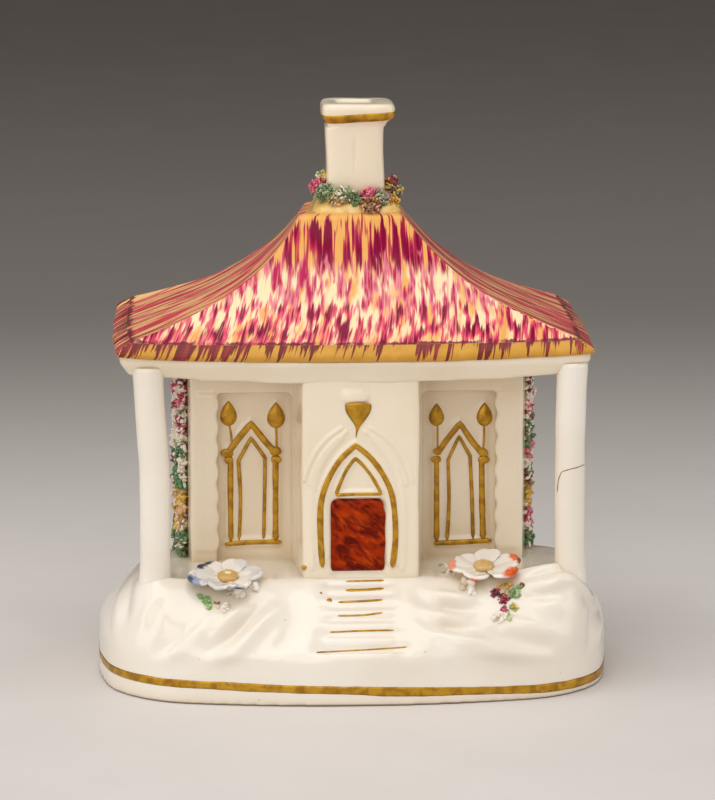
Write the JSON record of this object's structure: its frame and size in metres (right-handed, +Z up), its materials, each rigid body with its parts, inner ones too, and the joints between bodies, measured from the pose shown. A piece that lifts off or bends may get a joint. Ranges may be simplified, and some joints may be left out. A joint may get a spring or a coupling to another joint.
{
  "type": "pastille burner",
  "caption": "Porcelain pastille burner shaped as a summer house with a swept thatched roof, chimney flue, porch columns and an oval mound.",
  "frame": {"origin": "middle of the oval base, on the surface it stands on", "axes": "+Z up, +Y to the back of the house, +X along the front"},
  "size_m": [0.1142, 0.0768, 0.1282],
  "materials": {
    "white_glaze": "glossy creamy white glaze over porcelain",
    "gilding": "brush-laid honey gilding, soft gloss",
    "door_enamel": "streaky red-brown enamel, glossy",
    "roof_enamel": "ochre ground with combed crimson strokes, glossy",
    "ochre_enamel": "ochre enamel, glossy",
    "petal_glaze": "white glaze with painted petal tips",
    "moss_enamel": "rough clay moss, touched with green, yellow and crimson",
    "pastille": "dry pressed charcoal paste"
  },
  "bodies": {
    "root": {"base_mound": "white_glaze", "front_steps": "white_glaze", "porch_wall": "white_glaze", "left_bay_wall": "white_glaze", "right_bay_wall": "white_glaze", "left_side_wall": "white_glaze", "right_side_wall": "white_glaze", "rear_wall": "white_glaze", "left_quoins": "white_glaze", "right_quoins": "white_glaze", "left_window_surround": "gilding", "right_window_surround": "gilding", "left_window_casement": "gilding", "right_window_casement": "gilding", "left_column": "white_glaze", "right_column": "white_glaze", "door_panel": "door_enamel", "door_arch": "gilding", "overdoor_window": "gilding", "hood_mould": "white_glaze", "arch_bell": "gilding", "bell_corbel": "white_glaze", "roof_thatch": "roof_enamel", "eave_slab": "white_glaze", "chimney_collar": "ochre_enamel", "chimney_stack": "white_glaze", "chimney_cap": "white_glaze", "left_flower": "petal_glaze", "right_flower": "petal_glaze", "left_flower_eye": "ochre_enamel", "right_flower_eye": "ochre_enamel", "left_moss": "moss_enamel", "right_moss": "moss_enamel", "left_garland": "moss_enamel", "right_garland": "moss_enamel", "chimney_garland": "moss_enamel"},
    "pastille": {"pastille": "pastille"}
  },
  "joints": [
    {"name": "pastille_slide", "type": "slide", "parent": "root", "child": "pastille", "axis": [0, 1, 0], "range_m": [0, 0.045]}
  ]
}
